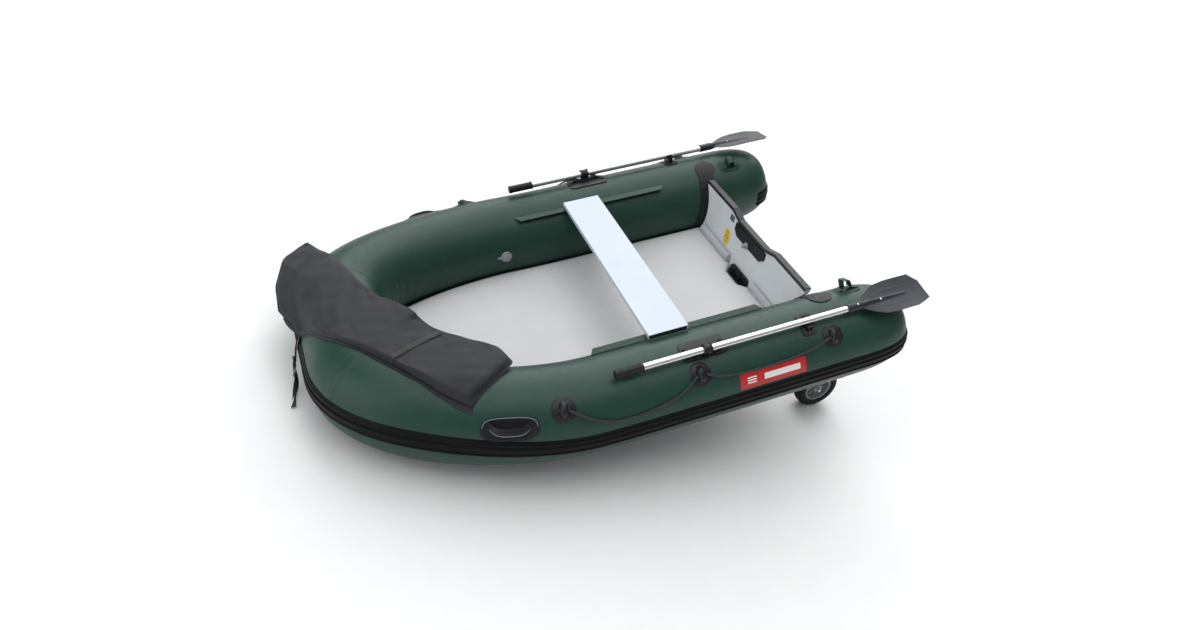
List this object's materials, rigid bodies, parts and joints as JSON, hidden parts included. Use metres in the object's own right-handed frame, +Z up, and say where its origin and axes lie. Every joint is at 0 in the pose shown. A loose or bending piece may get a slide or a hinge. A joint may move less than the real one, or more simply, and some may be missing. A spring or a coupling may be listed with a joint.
{
  "type": "inflatable dinghy",
  "caption": "Inflatable dinghy with a hard transom, air floor, sliding bench, two oars on swivels, folding launching wheels and a carry bag laid over the bow.",
  "frame": {"origin": "middle of the footprint, on the ground that the wheels and the bow stand on", "axes": "+X towards the bow, +Y to port, +Z up; the hull is pitched bow down by about 15 degrees"},
  "size_m": [2.5132, 1.6234, 0.897],
  "materials": {
    "tube_fabric": "satin reinforced PVC fabric, dark green",
    "strake_rubber": "ribbed black rubber",
    "deck_fabric": "pale grey drop-stitch fabric with a fine grain",
    "skin_fabric": "dark reinforced PVC fabric",
    "transom_paint": "grey painted plywood",
    "trim_plastic": "dark grey moulded edging",
    "pad_rubber": "black moulded rubber",
    "bracket_plastic": "pale grey plastic",
    "bench_paint": "pale coated aluminium",
    "fitting_plastic": "black moulded plastic",
    "blade_plastic": "dark slate plastic",
    "shaft_aluminium": "anodised aluminium tube",
    "grip_rubber": "black rubber grip",
    "zinc_steel": "plated steel",
    "rope": "black braided rope",
    "tyre": "black tyre rubber",
    "rim_plastic": "grey plastic",
    "bag_fabric": "black coated cloth",
    "valve_plastic": "grey plastic"
  },
  "bodies": {
    "hull": {"port_tube": "tube_fabric", "starboard_tube": "tube_fabric", "bow_tube": "tube_fabric", "port_baffle": "skin_fabric", "starboard_baffle": "skin_fabric", "rubbing_strake": "strake_rubber", "air_deck": "deck_fabric", "bottom_skin": "skin_fabric", "transom_board": "transom_paint", "transom_trim": "trim_plastic", "motor_pad_inner": "pad_rubber", "motor_pad_outer": "trim_plastic", "port_transom_seal": "pad_rubber", "starboard_transom_seal": "pad_rubber", "port_floor_bracket": "bracket_plastic", "starboard_floor_bracket": "bracket_plastic", "drain_socket": "fitting_plastic", "port_seat_rail": "tube_fabric", "starboard_seat_rail": "tube_fabric", "port_oarlock_base": "fitting_plastic", "starboard_oarlock_base": "fitting_plastic", "port_oar_clip": "fitting_plastic", "starboard_oar_clip": "fitting_plastic", "port_eyelet_1": "fitting_plastic", "starboard_eyelet_1": "fitting_plastic", "port_eyelet_2": "fitting_plastic", "starboard_eyelet_2": "fitting_plastic", "port_eyelet_3": "fitting_plastic", "starboard_eyelet_3": "fitting_plastic", "port_grab_line": "rope", "starboard_grab_line": "rope", "port_carry_handle": "pad_rubber", "starboard_carry_handle": "pad_rubber", "port_valve_body": "valve_plastic", "starboard_valve_body": "valve_plastic", "port_wheel_bracket": "zinc_steel", "starboard_wheel_bracket": "zinc_steel"},
    "bench": {"bench_seat": "bench_paint"},
    "drain_plug": {"drain_cap": "pad_rubber"},
    "bag": {"carry_bag": "bag_fabric"},
    "port_oar": {"port_oar_collar": "fitting_plastic", "port_oar_shaft": "shaft_aluminium", "port_oar_grip": "grip_rubber", "port_oar_blade": "blade_plastic"},
    "port_button": {"port_oar_button": "zinc_steel"},
    "port_leg": {"port_wheel_leg": "zinc_steel"},
    "port_pin": {"port_wheel_lock_pin": "zinc_steel"},
    "port_wheel": {"port_wheel_rim": "rim_plastic", "port_wheel_tyre": "tyre"},
    "port_cap": {"port_valve_cap": "valve_plastic"},
    "starboard_oar": {"starboard_oar_collar": "fitting_plastic", "starboard_oar_shaft": "shaft_aluminium", "starboard_oar_grip": "grip_rubber", "starboard_oar_blade": "blade_plastic"},
    "starboard_button": {"starboard_oar_button": "zinc_steel"},
    "starboard_leg": {"starboard_wheel_leg": "zinc_steel"},
    "starboard_pin": {"starboard_wheel_lock_pin": "zinc_steel"},
    "starboard_wheel": {"starboard_wheel_rim": "rim_plastic", "starboard_wheel_tyre": "tyre"},
    "starboard_cap": {"starboard_valve_cap": "valve_plastic"}
  },
  "joints": [
    {"name": "bench_slide", "type": "slide", "parent": "hull", "child": "bench", "axis": [0.9666, 0, -0.2562], "range_m": [-0.32, 0.22]},
    {"name": "port_oar_yaw", "type": "hinge", "parent": "hull", "child": "port_oar", "pos_m": [-0.20817, 0.68398, 0.62787], "axis": [0.2411, 0.3387, 0.9095], "range_deg": [-115, 0]},
    {"name": "port_button_press", "type": "slide", "parent": "port_oar", "child": "port_button", "axis": [-0.2411, -0.3387, -0.9095], "range_m": [0, 0.0025], "stiffness_N_per_m": 400, "springref_m": -0.002},
    {"name": "port_leg_fold", "type": "hinge", "parent": "hull", "child": "port_leg", "pos_m": [-0.88084, 0.372, 0.52166], "axis": [0, 1, 0], "range_deg": [0, 150]},
    {"name": "port_pin_pull", "type": "slide", "parent": "hull", "child": "port_pin", "axis": [0, -1, 0], "range_m": [0, 0.008], "stiffness_N_per_m": 500, "springref_m": -0.003},
    {"name": "port_wheel_spin", "type": "hinge", "parent": "port_leg", "child": "port_wheel", "pos_m": [-1.14662, 0.43, 0.11], "axis": [0, 1, 0], "continuous": true},
    {"name": "port_cap_open", "type": "hinge", "parent": "hull", "child": "port_cap", "pos_m": [0.20864, 0.41142, 0.32326], "axis": [-0.2104, -0.0893, -0.9735], "range_deg": [0, 100]},
    {"name": "starboard_oar_yaw", "type": "hinge", "parent": "hull", "child": "starboard_oar", "pos_m": [-0.20817, -0.68398, 0.62787], "axis": [0.2411, -0.3387, 0.9095], "range_deg": [0, 115]},
    {"name": "starboard_button_press", "type": "slide", "parent": "starboard_oar", "child": "starboard_button", "axis": [-0.2411, 0.3387, -0.9095], "range_m": [0, 0.0025], "stiffness_N_per_m": 400, "springref_m": -0.002},
    {"name": "starboard_leg_fold", "type": "hinge", "parent": "hull", "child": "starboard_leg", "pos_m": [-0.88084, -0.372, 0.52166], "axis": [0, 1, 0], "range_deg": [0, 150]},
    {"name": "starboard_pin_pull", "type": "slide", "parent": "hull", "child": "starboard_pin", "axis": [0, 1, 0], "range_m": [0, 0.008], "stiffness_N_per_m": 500, "springref_m": -0.003},
    {"name": "starboard_wheel_spin", "type": "hinge", "parent": "starboard_leg", "child": "starboard_wheel", "pos_m": [-1.14662, -0.43, 0.11], "axis": [0, 1, 0], "continuous": true},
    {"name": "starboard_cap_open", "type": "hinge", "parent": "hull", "child": "starboard_cap", "pos_m": [0.20864, -0.41142, 0.32326], "axis": [0.2104, -0.0893, 0.9735], "range_deg": [0, 100]},
    {"name": "drain_pull", "type": "slide", "parent": "hull", "child": "drain_plug", "axis": [0.9968, 0, -0.08], "range_m": [0, 0.014]},
    {"name": "bag_lift", "type": "slide", "parent": "hull", "child": "bag", "axis": [0, 0, 1], "range_m": [0, 0.2]}
  ]
}
